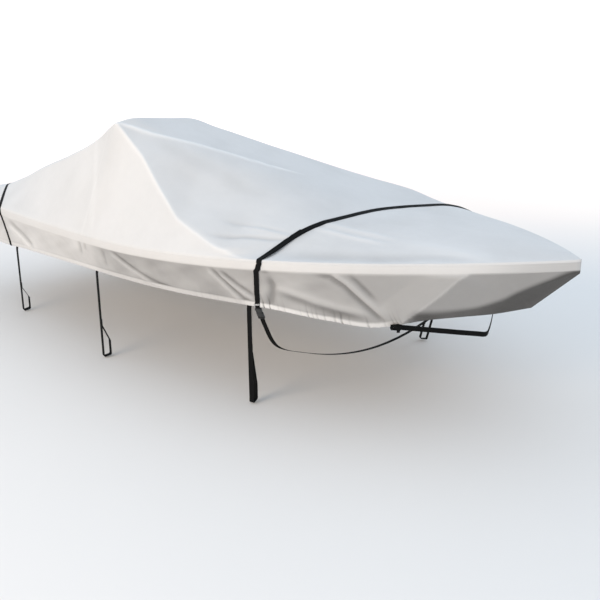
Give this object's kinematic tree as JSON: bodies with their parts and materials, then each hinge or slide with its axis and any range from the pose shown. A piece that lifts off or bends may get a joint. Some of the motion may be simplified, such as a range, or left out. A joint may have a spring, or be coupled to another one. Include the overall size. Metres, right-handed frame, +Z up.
{
  "type": "boat console cover",
  "caption": "Fitted pale grey cloth cover for an open boat, peaked over a side console, with a band and skirt round the gunwale and black webbing straps.",
  "frame": {"origin": "the under side of the cloth at the middle of the console top, where the console holds the cover up", "axes": "+X towards the bow, +Y to port, +Z up"},
  "size_m": [4.5941, 2.2, 1.4647],
  "materials": {
    "top_cloth": "matte",
    "skirt_cloth": "matte",
    "webbing": "matte",
    "buckle_plastic": "satin",
    "slider_metal": "satin"
  },
  "bodies": {
    "root": {"top_fore": "top_cloth", "top_aft": "top_cloth", "skirt_fore_starboard": "skirt_cloth", "skirt_fore_port": "skirt_cloth", "skirt_aft_starboard": "skirt_cloth", "skirt_aft_port": "skirt_cloth", "bow_strap": "webbing", "stern_strap": "webbing", "belly_strap": "webbing", "stem_strap": "webbing", "tie_down_bow_starboard": "webbing", "tie_down_bow_port": "webbing", "tie_down_mid_starboard": "webbing", "tie_down_mid_port": "webbing", "tie_down_stern_starboard": "webbing", "tie_down_stern_port": "webbing", "buckle_socket_starboard": "buckle_plastic", "buckle_plug_starboard": "buckle_plastic", "slider_starboard": "slider_metal", "buckle_socket_port": "buckle_plastic", "buckle_plug_port": "buckle_plastic", "slider_port": "slider_metal"}
  },
  "joints": []
}
